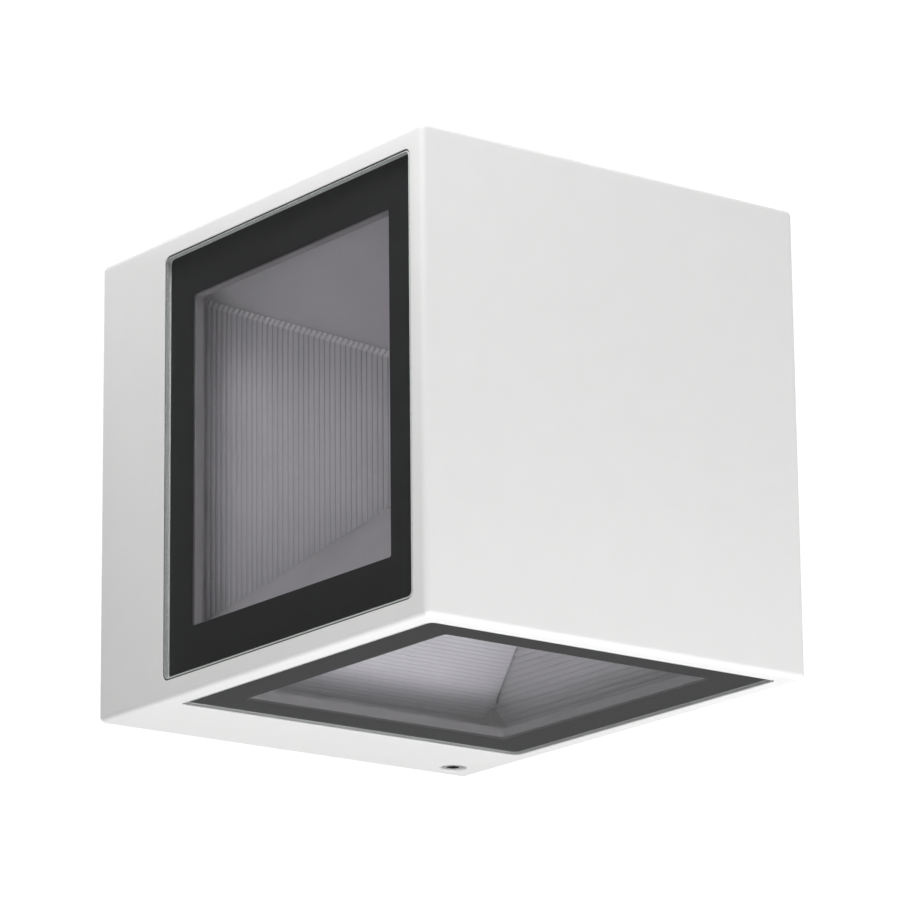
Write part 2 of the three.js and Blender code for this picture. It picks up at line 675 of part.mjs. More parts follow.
function wallPlate() {
  const x = INNER_X - PLATE_CLEARANCE;
  const z = INNER_Z - PLATE_CLEARANCE;
  const low = -PLATE_THICKNESS - OVER;
  let body = block([-x, -PLATE_THICKNESS, -z], [x, 0, z])
    .add(block([-TOP_TAB_HALF, -TAB_LENGTH, z - TAB_THICKNESS], [TOP_TAB_HALF, 0, z]))
    .add(block([FIXING_X - SCREW_TAB_REACH, -TAB_LENGTH, -z], [x, 0, -z + TAB_THICKNESS]));
  for (const [sx, sz] of CORNERS) body = body.subtract(slotCut(sx * SLOT.x, sz * SLOT.z));
  body = body.subtract(rodY(CABLE_HOLE.radius, CABLE_HOLE.x, CABLE_HOLE.z, low, OVER, 24));
  body = drilled(body, SCREWS.earth, EARTH.x, EARTH.z, low, OVER);
  for (const [sx, sz] of terminalScrewPlaces()) body = drilled(body, SCREWS.terminal, sx, sz, low, OVER);
  return body;
}

function cableGrommet() {
  const { x, z, radius, bore, lip, rise } = CABLE_HOLE;
  const front = -PLATE_THICKNESS - rise;
  const body = rodY(radius - GROOVE_SLACK, x, z, front, -FIT, 24)
    .add(rodY(radius + lip, x, z, front, -PLATE_THICKNESS - SEAT, 24));
  return body.subtract(rodY(bore, x, z, front - OVER, OVER));
}

// ---------------------------------------------------------------- fixing screw

// The M5 socket-head screw, driven up into the bottom margin until it catches the plate's tab.
function fixingScrew() {
  const headTop = -HALF_H + HEAD_RECESS;
  const seat = headTop + M5_HEAD_HEIGHT;
  const tip = -INNER_Z + PLATE_CLEARANCE - FIT;
  const socketRadius = M5_SOCKET_FLATS / Math.sqrt(3);
  const socketDepth = 2.6;
  const head = rodZ(M5_HEAD_RADIUS, FIXING_X, FIXING_Y, headTop, seat, 36);
  const shank = rodZ(M5_SHANK_RADIUS, FIXING_X, FIXING_Y, seat - 1, tip);
  const hex = rodZ(socketRadius, FIXING_X, FIXING_Y, headTop - 1, headTop + socketDepth, 6);
  return head.add(shank).subtract(hex);
}

function screwORing() {
  const low = -HALF_H + HEAD_RECESS + M5_HEAD_HEIGHT + SEAT / 2;
  const outer = rodZ(M5_HEAD_RADIUS - SEAT, FIXING_X, FIXING_Y, low, low + O_RING_HEIGHT);
  return outer.subtract(rodZ(M5_HOLE_RADIUS, FIXING_X, FIXING_Y, low - 1, low + 2));
}

// ---------------------------------------------------------------- assembly

const group = new THREE.Group();

function addPiece(name, body, look) {
  const mesh = new THREE.Mesh(geometryOf(body), look);
  mesh.name = name;
  group.add(mesh);
}

// Adds numbered copies of a small screw, their heads resting at y.
function addScrews(name, places, y, screw, facing) {
  places.forEach(([x, z], index) => {
    addPiece(`${name}_${index + 1}`, screwY(x, z, y, screw, facing), steel());
  });
}

addPiece('housing', housing(), powderCoat());
addPiece('wall_seal', wallSeal(), blackRubber());
for (const side of SIDES) {
  addPiece(`glass_${side.name}`, pane(side), glass());
  addPiece(`glass_seal_${side.name}`, paneSeal(side), silicone());
  addPiece(`reflector_${side.name}`, reflectorPanel(side), reflectorSheet());
}

for (const [signX, signZ] of CORNERS) {
  const name = `divider_${signZ > 0 ? 'top' : 'bottom'}_${signX > 0 ? 'right' : 'left'}`;
  const cheek = signZ > 0 ? 0 : LOWER_CHEEK;
  addPiece(name, inCorner(divider(cheek), signX, signZ), greyPlastic());
}
addPiece('reflector_nose', reflectorNose(), greyPlastic());
addPiece('reflector_base_ring', reflectorBaseRing(), greyPlastic());

addPiece('carrier_plate', carrierPlate(), galvanised());
addPiece('carrier_gasket', carrierGasket(), blackRubber());
addScrews('carrier_screw', carrierScrewPlaces(), CARRIER_TOP, SCREWS.carrier);
addPiece('lead_grommet', grommet(), blackRubber());

addPiece('led_board', ledBoard(), whiteBoard());
addPiece('thermal_pad', thermalPad(), thermalFoil());
addPiece('led_right', led(LED_OFFSET, 0), paleYellow());
addPiece('led_left', led(-LED_OFFSET, 0), paleYellow());
addPiece('led_top', led(0, LED_OFFSET), paleYellow());
addPiece('led_bottom', led(0, -LED_OFFSET), paleYellow());
addScrews('led_board_screw', boardScrewPlaces(), BOARD_BACK + SEAT, SCREWS.board);

addPiece('driver', driver(), driverCase());
addScrews('driver_screw', driverScrewPlaces(), CARRIER_TOP + DRIVER.earThickness + SEAT, SCREWS.driver);
addPiece('plug_connector', plugConnector(), whiteBoard());
addPiece('plug_lead_live', mainsLead(0), brownLead());
addPiece('plug_lead_neutral', mainsLead(1), blueLead());
addPiece('plug_lead_earth', mainsLead(2), earthLead());
addPiece('led_lead_plus', ledLead(1), redLead());
addPiece('led_lead_minus', ledLead(-1), blackLead());

const PLATE_FRONT = -PLATE_THICKNESS - SEAT;
const FOOT_FRONT = PLATE_FRONT - SOCKET_BLOCK.footThickness - SEAT;
addPiece('wall_plate', wallPlate(), galvanised());
addPiece('cable_grommet', cableGrommet(), blackRubber());
addPiece('terminal_block', terminalBlock(), greyPlastic());
addScrews('terminal_screw', terminalScrewPlaces(), FOOT_FRONT, SCREWS.terminal, -1);
addPiece('earth_screw', screwY(EARTH.x, EARTH.z, PLATE_FRONT, SCREWS.earth, -1), steel());

addPiece('fixing_screw', fixingScrew(), steel());
addPiece('screw_o_ring', screwORing(), blackRubber());

export default group;
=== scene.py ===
"""Cube-shaped outdoor wall lantern: camera, studio and the finished pieces on the CAD frame."""
import json
import math

import bmesh
import bpy
from mathutils import Matrix, Vector

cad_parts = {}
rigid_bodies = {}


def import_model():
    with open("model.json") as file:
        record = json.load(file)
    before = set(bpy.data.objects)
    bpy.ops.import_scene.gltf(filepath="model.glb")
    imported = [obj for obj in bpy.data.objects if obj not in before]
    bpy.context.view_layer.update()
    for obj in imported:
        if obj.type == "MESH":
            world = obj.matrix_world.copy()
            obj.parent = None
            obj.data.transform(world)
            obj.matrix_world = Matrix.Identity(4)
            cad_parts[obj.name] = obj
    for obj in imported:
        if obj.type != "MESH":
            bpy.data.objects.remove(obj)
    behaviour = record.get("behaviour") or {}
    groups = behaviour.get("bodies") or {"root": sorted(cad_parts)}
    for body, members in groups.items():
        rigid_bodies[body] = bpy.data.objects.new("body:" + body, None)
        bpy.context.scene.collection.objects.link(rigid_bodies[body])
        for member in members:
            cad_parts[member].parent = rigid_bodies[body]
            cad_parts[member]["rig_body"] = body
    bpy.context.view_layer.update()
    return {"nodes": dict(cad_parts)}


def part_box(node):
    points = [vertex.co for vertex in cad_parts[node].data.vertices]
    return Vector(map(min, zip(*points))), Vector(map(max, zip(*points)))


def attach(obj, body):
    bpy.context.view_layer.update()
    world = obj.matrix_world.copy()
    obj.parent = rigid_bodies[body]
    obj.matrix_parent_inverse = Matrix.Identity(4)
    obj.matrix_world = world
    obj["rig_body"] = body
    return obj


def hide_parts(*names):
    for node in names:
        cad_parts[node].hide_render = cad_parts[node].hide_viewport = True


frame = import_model()

MM = 0.001

# ------------------------------------------------------------------ camera

VIEW_AZIMUTH = -37.15         # degrees, 0 looks along +Y
VIEW_ELEVATION = -15.83       # the camera is below the lamp and looks up
VIEW_ROLL = -0.57
VIEW_DISTANCE = 1.621
VIEW_LENS = 199.4             # mm on a 36 mm sensor
VIEW_AIM = (0.0014, 0.0056)   # camera's offset to its right and up from the lamp's centre

# ------------------------------------------------------------------ light levels

WORLD_STRENGTH = 0.30         # on matt surfaces
MIRRORED_STRENGTH = 0.22      # in reflections
BACKDROP_STRENGTH = 1.05      # what the camera sees of it
FLOOR_GLOW = 0.55             # added to the floor for the camera only
# name, place from the lamp's centre, size and power of each soft light, and whether glass mirrors it
LIGHTS = [
    ("front_soft", (0.65, -1.0, 0.65), (0.9, 0.9), 3.1, False),
    ("left_soft", (-0.27, -0.11, 0.43), (0.3, 0.3), 2.25, True),
    ("under_soft", (0.0, -0.24, -0.8), (1.8, 1.3), 18.8, True),
    ("right_soft", (1.4, -0.3, 0.7), (0.9, 0.9), 3.0, False),
    ("back_soft", (0.6, 1.5, 0.9), (1.0, 1.0), 4.0, False),
    ("top_soft", (0.1, -0.2, 1.5), (0.9, 0.9), 4.0, False),
]


def lamp_centre():
    low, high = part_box("housing")
    return Vector([(low[i] + high[i]) / 2 for i in range(3)])


def add_camera():
    azimuth = math.radians(VIEW_AZIMUTH)
    elevation = math.radians(VIEW_ELEVATION)
    forward = Vector((
        -math.sin(azimuth) * math.cos(elevation),
        math.cos(azimuth) * math.cos(elevation),
        -math.sin(elevation),
    ))
    right = forward.cross(Vector((0, 0, 1))).normalized()
    up = right.cross(forward)
    roll = Matrix.Rotation(-math.radians(VIEW_ROLL), 3, forward)
    right, up = roll @ right, roll @ up
    data = bpy.data.cameras.new("camera")
    data.lens = VIEW_LENS
    data.clip_end = 20
    camera = bpy.data.objects.new("camera", data)
    bpy.context.collection.objects.link(camera)
    place = lamp_centre() - forward * VIEW_DISTANCE + right * VIEW_AIM[0] + up * VIEW_AIM[1]
    turn = Matrix((right, up, -forward)).transposed()
    camera.matrix_world = Matrix.Translation(place) @ turn.to_4x4()
    bpy.context.scene.camera = camera


# ------------------------------------------------------------------ studio

def add_area(name, place, target, size, energy, mirrored):
    data = bpy.data.lights.new(name, "AREA")
    data.shape = "RECTANGLE"
    data.size, data.size_y = size
    data.energy = energy
    light = bpy.data.objects.new(name, data)
    bpy.context.collection.objects.link(light)
    place = Vector(place)
    light.location = place
    light.rotation_euler = (Vector(target) - place).to_track_quat("-Z", "Y").to_euler()
    light.visible_glossy = mirrored


def add_studio():
    world = bpy.data.worlds.new("studio")
    bpy.context.scene.world = world
    world.use_nodes = True
    nodes, links = world.node_tree.nodes, world.node_tree.links
    nodes.clear()
    output = nodes.new("ShaderNodeOutputWorld")
    seen = nodes.new("ShaderNodeBackground")
    seen.inputs["Color"].default_value = (1, 1, 1, 1)
    seen.inputs["Strength"].default_value = BACKDROP_STRENGTH
    lighting = nodes.new("ShaderNodeBackground")
    lighting.inputs["Color"].default_value = (1, 1, 1, 1)
    path = nodes.new("ShaderNodeLightPath")
    level = spread(nodes, links, path.outputs["Is Glossy Ray"], WORLD_STRENGTH, MIRRORED_STRENGTH)
    links.new(level, lighting.inputs["Strength"])
    mix = nodes.new("ShaderNodeMixShader")
    links.new(path.outputs["Is Camera Ray"], mix.inputs["Fac"])
    links.new(lighting.outputs[0], mix.inputs[1])
    links.new(seen.outputs[0], mix.inputs[2])
    links.new(mix.outputs[0], output.inputs["Surface"])
    centre = lamp_centre()
    for name, place, size, energy, mirrored in LIGHTS:
        add_area(name, centre + Vector(place), centre, size, energy, mirrored)
    bpy.context.scene.view_settings.view_transform = "Standard"


def add_floor():
    mesh = bpy.data.meshes.new("floor")
    half, depth = 3.0, -0.85
    corners = [(-half, -half, depth), (half, -half, depth), (half, half, depth), (-half, half, depth)]
    mesh.from_pydata(corners, [], [(0, 1, 2, 3)])
    floor = bpy.data.objects.new("floor", mesh)
    bpy.context.collection.objects.link(floor)
    floor.data.materials.append(floor_paint())


# ------------------------------------------------------------------ material helpers

def new_material(name):
    made = bpy.data.materials.new(name)
    made.use_nodes = True
    nodes = made.node_tree.nodes
    return made, nodes, made.node_tree.links, nodes["Principled BSDF"]


def floor_paint():
    """A pale floor, seen brighter than it lights the lamp from below."""
    made, nodes, links, shader = new_material("floor_paint")
    shader.inputs["Base Color"].default_value = (0.62, 0.62, 0.62, 1)
    shader.inputs["Roughness"].default_value = 0.9
    shader.inputs["Emission Color"].default_value = (1, 1, 1, 1)
    path = nodes.new("ShaderNodeLightPath")
    glow = spread(nodes, links, path.outputs["Is Camera Ray"], 0.0, FLOOR_GLOW)
    links.new(glow, shader.inputs["Emission Strength"])
    return made


def noise(nodes, links, coordinates, scale, detail=2.0, roughness=0.5):
    node = nodes.new("ShaderNodeTexNoise")
    node.inputs["Scale"].default_value = scale
    node.inputs["Detail"].default_value = detail
    node.inputs["Roughness"].default_value = roughness
    links.new(coordinates, node.inputs["Vector"])
    return node.outputs["Fac"]


def spread(nodes, links, value, low, high):
    node = nodes.new("ShaderNodeMapRange")
    node.inputs["To Min"].default_value = low
    node.inputs["To Max"].default_value = high
    links.new(value, node.inputs["Value"])
    return node.outputs["Result"]


def tint(nodes, links, value, dark, light):
    ramp = nodes.new("ShaderNodeValToRGB")
    ramp.color_ramp.elements[0].position = 0.3
    ramp.color_ramp.elements[1].position = 0.7
    ramp.color_ramp.elements[0].color = (*dark, 1)
    ramp.color_ramp.elements[1].color = (*light, 1)
    links.new(value, ramp.inputs["Fac"])
    return ramp.outputs["Color"]


def bump(nodes, links, height, distance, strength=1.0):
    node = nodes.new("ShaderNodeBump")
    node.inputs["Distance"].default_value = distance
    node.inputs["Strength"].default_value = strength
    links.new(height, node.inputs["Height"])
    return node.outputs["Normal"]


def grained(name, dark, light, roughness, grain, depth, metallic=0.0, spotty=60.0):
    """A surface whose colour and roughness vary softly and whose fine grain is a bump."""
    made, nodes, links, shader = new_material(name)
    place = nodes.new("ShaderNodeTexCoord").outputs["Object"]
    patches = noise(nodes, links, place, spotty, 3.0)
    fine = noise(nodes, links, place, grain, 2.0, 0.6)
    links.new(tint(nodes, links, patches, dark, light), shader.inputs["Base Color"])
    links.new(spread(nodes, links, fine, roughness[0], roughness[1]), shader.inputs["Roughness"])
    links.new(bump(nodes, links, fine, depth), shader.inputs["Normal"])
    shader.inputs["Metallic"].default_value = metallic
    return made


# ------------------------------------------------------------------ materials

def powder_coat():
    """Fine-textured white polyester powder coat with a soft orange peel."""
    made, nodes, links, shader = new_material("powder_coat")
    place = nodes.new("ShaderNodeTexCoord").outputs["Object"]
    peel = noise(nodes, links, place, 650, 3.0, 0.55)
    swell = noise(nodes, links, place, 90, 2.0)
    links.new(tint(nodes, links, swell, (0.824, 0.818, 0.816), (0.836, 0.830, 0.828)),
              shader.inputs["Base Color"])
    links.new(spread(nodes, links, peel, 0.42, 0.60), shader.inputs["Roughness"])
    links.new(bump(nodes, links, peel, 0.00006, 0.6), shader.inputs["Normal"])
    shader.inputs["IOR"].default_value = 1.5
    return made


def pane_glass():
    """Clear float glass, faintly wavy. Lamps shine through it without a caustic."""
    made, nodes, links, shader = new_material("pane_glass")
    place = nodes.new("ShaderNodeTexCoord").outputs["Object"]
    wave = noise(nodes, links, place, 8, 1.0)
    links.new(bump(nodes, links, wave, 0.00002, 0.3), shader.inputs["Normal"])
    colour = tint(nodes, links, wave, (0.95, 0.945, 0.96), (0.965, 0.96, 0.972))
    links.new(colour, shader.inputs["Base Color"])
    shader.inputs["Roughness"].default_value = 0.0
    shader.inputs["IOR"].default_value = 1.35
    shader.inputs["Transmission Weight"].default_value = 1.0
    through = nodes.new("ShaderNodeBsdfTransparent")
    through.inputs["Color"].default_value = (0.62, 0.62, 0.62, 1)
    path = nodes.new("ShaderNodeLightPath")
    mix = nodes.new("ShaderNodeMixShader")
    links.new(path.outputs["Is Shadow Ray"], mix.inputs["Fac"])
    links.new(shader.outputs[0], mix.inputs[1])
    links.new(through.outputs[0], mix.inputs[2])
    links.new(mix.outputs[0], nodes["Material Output"].inputs["Surface"])
    return made


def ground_glass():
    """The pane's ground edge: frosted and paler than its faces."""
    made, nodes, links, shader = new_material("ground_glass")
    place = nodes.new("ShaderNodeTexCoord").outputs["Object"]
    grind = noise(nodes, links, place, 1500, 2.0)
    links.new(tint(nodes, links, grind, (0.56, 0.59, 0.57), (0.64, 0.67, 0.65)), shader.inputs["Base Color"])
    links.new(spread(nodes, links, grind, 0.2, 0.32), shader.inputs["Roughness"])
    shader.inputs["IOR"].default_value = 1.5
    return made


def enamel():
    """Opaque black ceramic print fired onto the pane's back."""
    return grained("enamel", (0.003, 0.0033, 0.0042), (0.0045, 0.005, 0.0062), (0.45, 0.6), 900, 0.00001)


def inner_grey():
    """Darker grey on the casting's inside faces, round the light openings."""
    return grained("inner_grey", (0.25, 0.24, 0.25), (0.28, 0.27, 0.28), (0.45, 0.6), 600, 0.00004)


def silicone():
    return grained("silicone", (0.012, 0.012, 0.013), (0.022, 0.022, 0.024), (0.4, 0.55), 500, 0.00003)


def thermal_foil():
    return grained("thermal_foil", (0.30, 0.30, 0.31), (0.36, 0.36, 0.37), (0.5, 0.65), 500, 0.00003)


def black_rubber():
    return grained("black_rubber", (0.015, 0.015, 0.017), (0.028, 0.028, 0.03), (0.6, 0.85), 500, 0.00005)


def reflector_metal():
    """Anodised sheet aluminium, satin, drawn along its ribs."""
    return grained("reflector_metal", (0.61, 0.60, 0.625), (0.66, 0.645, 0.67), (0.45, 0.58), 420, 0.00002)


def painted_valley_shade():
    """Painted shade: the sheet set darker in the narrow valleys between the ribs."""
    return grained("painted_valley_shade", (0.33, 0.325, 0.335), (0.37, 0.36, 0.375), (0.5, 0.65), 420, 0.00002)


def painted_light_reflector():
    """Painted light: the same sheet set brighter in the top and bottom chambers, a lit copy of it."""
    return grained("painted_light_reflector", (0.78, 0.77, 0.82), (0.82, 0.81, 0.86), (0.45, 0.58), 420, 0.00002)


def turned_end_painted_highlight():
    """The same sheet on the turned rib ends, glossier, and set brighter there as a painted highlight."""
    return grained("turned_end_painted_highlight", (0.74, 0.73, 0.75), (0.82, 0.81, 0.83), (0.26, 0.36), 420, 0.00002, 0.25)


def grey_plastic():
    return grained("grey_plastic", (0.58, 0.57, 0.59), (0.62, 0.605, 0.63), (0.45, 0.62), 700, 0.00003)


def painted_shade_cheek():
    """Painted shade: the lower dividers' smooth cheek set darker than their ribbed side."""
    return grained("painted_shade_cheek", (0.31, 0.30, 0.312), (0.34, 0.33, 0.342), (0.5, 0.65), 700, 0.00003)


def galvanised():
    light = (0.68, 0.70, 0.71)
    return grained("galvanised", (0.52, 0.54, 0.55), light, (0.35, 0.5), 240, 0.00003, 0.9, 130)


def bright_steel():
    light = (0.88, 0.88, 0.89)
    return grained("bright_steel", (0.80, 0.80, 0.81), light, (0.30, 0.42), 900, 0.00001, 0.9, 200)


def socket_painted_shade():
    """Painted shade: the steel set near black down in the screw's socket."""
    light = (0.08, 0.08, 0.082)
    return grained("socket_painted_shade", (0.05, 0.05, 0.052), light, (0.4, 0.55), 900, 0.00001, 0.5, 200)


def white_board():
    return grained("white_board", (0.78, 0.79, 0.77), (0.84, 0.85, 0.83), (0.35, 0.5), 500, 0.00002)


def driver_case():
    return grained("driver_case", (0.66, 0.67, 0.64), (0.72, 0.73, 0.70), (0.45, 0.6), 600, 0.00005)


def led_lens():
    return grained("led_lens", (0.78, 0.62, 0.16), (0.85, 0.70, 0.22), (0.08, 0.16), 300, 0.00001)


def cable_skin(name, colour):
    light = tuple(min(1.0, value * 1.25 + 0.01) for value in colour)
    return grained(name, colour, light, (0.35, 0.5), 400, 0.00002)


MATERIALS = {
    "powder_coat": powder_coat,
    "pane_glass": pane_glass,
    "silicone": silicone,
    "thermal_foil": thermal_foil,
    "ground_glass": ground_glass,
    "enamel": enamel,
    "inner_grey": inner_grey,
    "black_rubber": black_rubber,
    "reflector_metal": reflector_metal,
    "painted_light_reflector": painted_light_reflector,
    "painted_valley_shade": painted_valley_shade,
    "turned_end_painted_highlight": turned_end_painted_highlight,
    "grey_plastic": grey_plastic,
    "painted_shade_cheek": painted_shade_cheek,
    "galvanised": galvanised,
    "steel": bright_steel,
    "socket_painted_shade": socket_painted_shade,
    "white_board": white_board,
    "led_lens": led_lens,
    "driver_case": driver_case,
    "brown_lead": lambda: cable_skin("brown_lead", (0.16, 0.06, 0.025)),
    "blue_lead": lambda: cable_skin("blue_lead", (0.03, 0.09, 0.33)),
    "green_lead": lambda: cable_skin("green_lead", (0.16, 0.33, 0.04)),
    "red_lead": lambda: cable_skin("red_lead", (0.42, 0.03, 0.02)),
    "black_lead": lambda: cable_skin("black_lead", (0.02, 0.02, 0.02)),
}

made_materials = {}


def material(name):
    if name not in made_materials:
        made_materials[name] = MATERIALS[name]()
    return made_materials[name]


# ------------------------------------------------------------------ piece helpers

SMOOTH_ANGLE = math.radians(38)
BEVEL_ANGLE = 50              # degrees, edges flatter than this stay as they are
BEVEL_SEGMENTS = 2
CORNER_STEPS = 8              # facets in a rounded corner


def smooth(mesh, angle=SMOOTH_ANGLE):
    """Smooth shading with real creases kept sharp."""
    mesh.polygons.foreach_set("use_smooth", [True] * len(mesh.polygons))
    mesh.set_sharp_from_angle(angle=angle)


def add_piece(name, mesh, slot, body, nodes=(), extra=()):
    """Puts a finished mesh into the scene as a piece that rides on a body and stands for CAD nodes."""
    piece = bpy.data.objects.new(name, mesh)
    bpy.context.collection.objects.link(piece)
    mesh.materials.clear()
    for made in (slot, *extra):
        mesh.materials.append(material(made))
    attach(piece, body)
    if nodes:
        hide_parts(*nodes)
    return piece


def mesh_of(name, points, faces):
    """A mesh from points in millimetres, with its faces turned outward."""
    mesh = bpy.data.meshes.new(name)
    mesh.from_pydata([tuple(c * MM for c in p) for p in points], [], faces)
    shell = bmesh.new()
    shell.from_mesh(mesh)
    bmesh.ops.recalc_face_normals(shell, faces=shell.faces)
    shell.to_mesh(mesh)
    shell.free()
    smooth(mesh)
    return mesh


def loft(rings):
    """Points and faces of a closed body through rings of equal length, capped at both ends."""
    count = len(rings[0])
    points = [p for ring in rings for p in ring]
    faces = [tuple(range(count)), tuple(range(len(points) - count, len(points)))]
    for r in range(len(rings) - 1):
        for i in range(count):
            j = (i + 1) % count
            low, high = r * count, (r + 1) * count
            faces.append((low + i, low + j, high + j, high + i))
    return points, faces


def bevelled(piece, width, angle=BEVEL_ANGLE):
    """Rounds the piece's sharp edges by width, in millimetres."""
    modifier = piece.modifiers.new("edges", "BEVEL")
    modifier.width = width * MM
    modifier.segments = BEVEL_SEGMENTS
    modifier.limit_method = "ANGLE"
    modifier.angle_limit = math.radians(angle)
    modifier.harden_normals = True
    modifier.use_clamp_overlap = True
    return piece


def refined(node, slot, width):
    """A CAD node's shape with its flats made whole and its edges rounded."""
    name = node + "_finish"
    mesh = frame["nodes"][node].data.copy()
    mesh.name = name
    shell = bmesh.new()
    shell.from_mesh(mesh)
    bmesh.ops.remove_doubles(shell, verts=shell.verts, dist=2e-6)
    bmesh.ops.dissolve_limit(shell, angle_limit=math.radians(1), verts=shell.verts, edges=shell.edges)
    shell.to_mesh(mesh)
    shell.free()
    if mesh.attributes.get("custom_normal"):
        mesh.attributes.remove(mesh.attributes["custom_normal"])
    smooth(mesh)
    piece = add_piece(name, mesh, slot, frame["nodes"][node]["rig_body"], [node])
    return bevelled(piece, width) if width else piece


def rounded_outline(width, length, radius):
    """[x, y] points round a rectangle with rounded corners."""
    points = []
    for sx, sy, start in ((1, 1, 0), (-1, 1, 90), (-1, -1, 180), (1, -1, 270)):
        for i in range(CORNER_STEPS + 1):
            turn = math.radians(start + 90 * i / CORNER_STEPS)
            points.append((
                sx * (width / 2 - radius) + radius * math.cos(turn),
                sy * (length / 2 - radius) + radius * math.sin(turn),
            ))
    return points


# ------------------------------------------------------------------ windows

WIDTH, HEIGHT, DEPTH = 150, 156, 178
PANE_MARGIN = 7
PANE_START = 37
PANE_THICKNESS = 4
PANE_RADIUS = 2.2
PANE_CHAMFER = 0.3
PANE_RECESS = 0.1
PRINT_SHORT = 13.5
PRINT_LONG = 15.5
PRINT_INSET = 1.2
PANE_LENGTH = DEPTH - PANE_MARGIN - PANE_START
PANE_Y = -(DEPTH - PANE_MARGIN + PANE_START) / 2

# name, turn about Y from the top, distance of the face from the middle, breadth of the face
SIDES = [
    ("top", 0, HEIGHT / 2, WIDTH),
    ("right", 90, WIDTH / 2, HEIGHT),
    ("bottom", 180, HEIGHT / 2, WIDTH),
    ("left", 270, WIDTH / 2, HEIGHT),
]


def to_side(points, turn, reach):
    """Points made in a window's own frame, outer face at height 0, brought to their side."""
    spin = Matrix.Rotation(math.radians(turn), 3, "Y")
    return [tuple(spin @ Vector((x, y, z + reach))) for x, y, z in points]


def slab_points(width, length, radius, profile):
    """Points and faces of a rounded slab through [inset, height] points, in a window's own frame."""
    rings = []
    for inset, height in profile:
        outline = rounded_outline(width - 2 * inset, length - 2 * inset, max(radius - inset, 0.2))
        rings.append([(x, y + PANE_Y, height) for x, y in outline])
    return loft(rings)


def pane_profile():
    """Cross-section of the pane's edge, from its printed back round to its front face.

    Flat faces, ground chamfers and slightly dulled corners, as [inset, height] points.
    """
    low, dull = -PANE_RECESS - PANE_THICKNESS, 0.08
    top = -PANE_RECESS
    return [
        (PRINT_INSET, low),
        (PANE_CHAMFER + dull, low),
        (PANE_CHAMFER - dull * 0.3, low + dull * 0.3),
        (dull * 0.3, low + PANE_CHAMFER - dull * 0.3),
        (0, low + PANE_CHAMFER + dull),
        (0, top - PANE_CHAMFER - dull),
        (dull * 0.3, top - PANE_CHAMFER + dull * 0.3),
        (PANE_CHAMFER - dull * 0.3, top - dull * 0.3),
        (PANE_CHAMFER + dull, top),
    ]


CLEAR, GROUND, PRINTED = 0, 1, 2


def add_pane(name, turn, reach, breadth):
    """A pane with its opaque border printed on its back, one closed body."""
    width, length = breadth - 2 * PANE_MARGIN, PANE_LENGTH
    profile = pane_profile()
    points, faces = slab_points(width, length, PANE_RADIUS, profile)
    window = rounded_outline(width - 2 * PRINT_LONG, length - 2 * PRINT_SHORT, 0.8)
    count = len(window)
    first = len(points)
    points += [(x, y + PANE_Y, profile[0][1]) for x, y in window]
    kinds = {}
    faces[0] = tuple(first + i for i in range(count))
    kinds[0], kinds[1] = CLEAR, CLEAR
    kinds.update({2 + i: PRINTED for i in range(count)})
    for i in range(count):
        j = (i + 1) % count
        kinds[len(faces)] = PRINTED
        faces.append((i, j, first + j, first + i))
    mesh = mesh_of("pane_" + name, to_side(points, turn, reach), faces)
    add_piece("pane_" + name, mesh, "pane_glass", "lamp_head", ["glass_" + name], ["ground_glass", "enamel"])
    for polygon in mesh.polygons:
        kind = kinds.get(polygon.index, GROUND)
        polygon.material_index = kind
        polygon.use_smooth = kind == GROUND


# ------------------------------------------------------------------ reflector

APEX = 174
PYRAMID_BASE = 33
SLOPE_X, SLOPE_Z = 0.43, 0.447
PANEL_END = 160
PANEL_THICKNESS = 1
RIB_PITCH, RIB_HEIGHT = 1.98, 0.6
FIT = 0.3
PAD_FRONT = 38.3              # the corner pads' room, from the wall
PAD_X, PAD_Z = 56.7, 59.7
SAMPLES = 8                   # points along each rib
TURN_RADIUS = 2.1             # rib ends turn up onto the dividers with this radius
TURN_LEAN = 1.9               # and lean this far towards the front while they do
TURN_STEPS = 6
TURN_PROUD = 0.45             # the turned ends stand this far off the divider
TURN_SWELL = 1.7              # and their ribs swell by this factor
DIVIDER_THICKNESS = 1.2
PLAIN_EDGE = 1.6              # ribs without a turn die out this far from the panel's edge


def rib_height(share, height):
    """Height of a half-round rib with narrow valleys, at a share of its pitch."""
    return height * math.sqrt(max(0.0, 1 - (2 * share - 1) ** 2))


def rib_stations(length, pitch, height):
    """[distance, height] along a run of whole ribs."""
    count = int(length / pitch)
    stations = []
    for i in range(count):
        for k in range(SAMPLES):
            share = (1 - math.cos(math.pi * k / SAMPLES)) / 2
            stations.append(((i + share) * pitch, rib_height(share, height)))
    stations.append((count * pitch, 0.0))
    return stations


def strip_faces(count, around=4):
    """Faces of a closed strip whose stations each hold the same number of points round its section."""
    faces = [tuple(range(around)), tuple((count - 1) * around + k for k in range(around))]
    for i in range(count - 1):
        for k in range(around):
            a, b = i * around + k, i * around + (k + 1) % around
            faces.append((a, b, b + around, a + around))
    return faces


def end_columns(turned, ratio, forward):
    """Columns across a rib's end, from its straight part outward.

    Each is [distance from the edge, lift, lean, angle of the surface, share of the rib's height].
    """
    if not turned:
        full = (PLAIN_EDGE + 0.9, 0.0, 0.0, 0.0, 1.0)
        fading = (PLAIN_EDGE, 0.0, 0.0, 0.0, 0.25)
        return [full, fading, (0.0, 0.0, 0.0, 0.0, 0.0)]
    tilt = math.acos(forward * ratio / math.hypot(1, ratio))
    tangent = TURN_RADIUS * math.tan(tilt / 2)
    offset = (DIVIDER_THICKNESS + TURN_PROUD) * math.hypot(1, ratio)
    columns = []
    for k in range(TURN_STEPS + 1):
        angle = tilt * k / TURN_STEPS
        distance = offset + tangent - TURN_RADIUS * math.sin(angle)
        lift = TURN_RADIUS * (1 - math.cos(angle))
        columns.append((distance, lift, TURN_LEAN * k / TURN_STEPS, angle, TURN_SWELL if k else 1.0))
    return columns


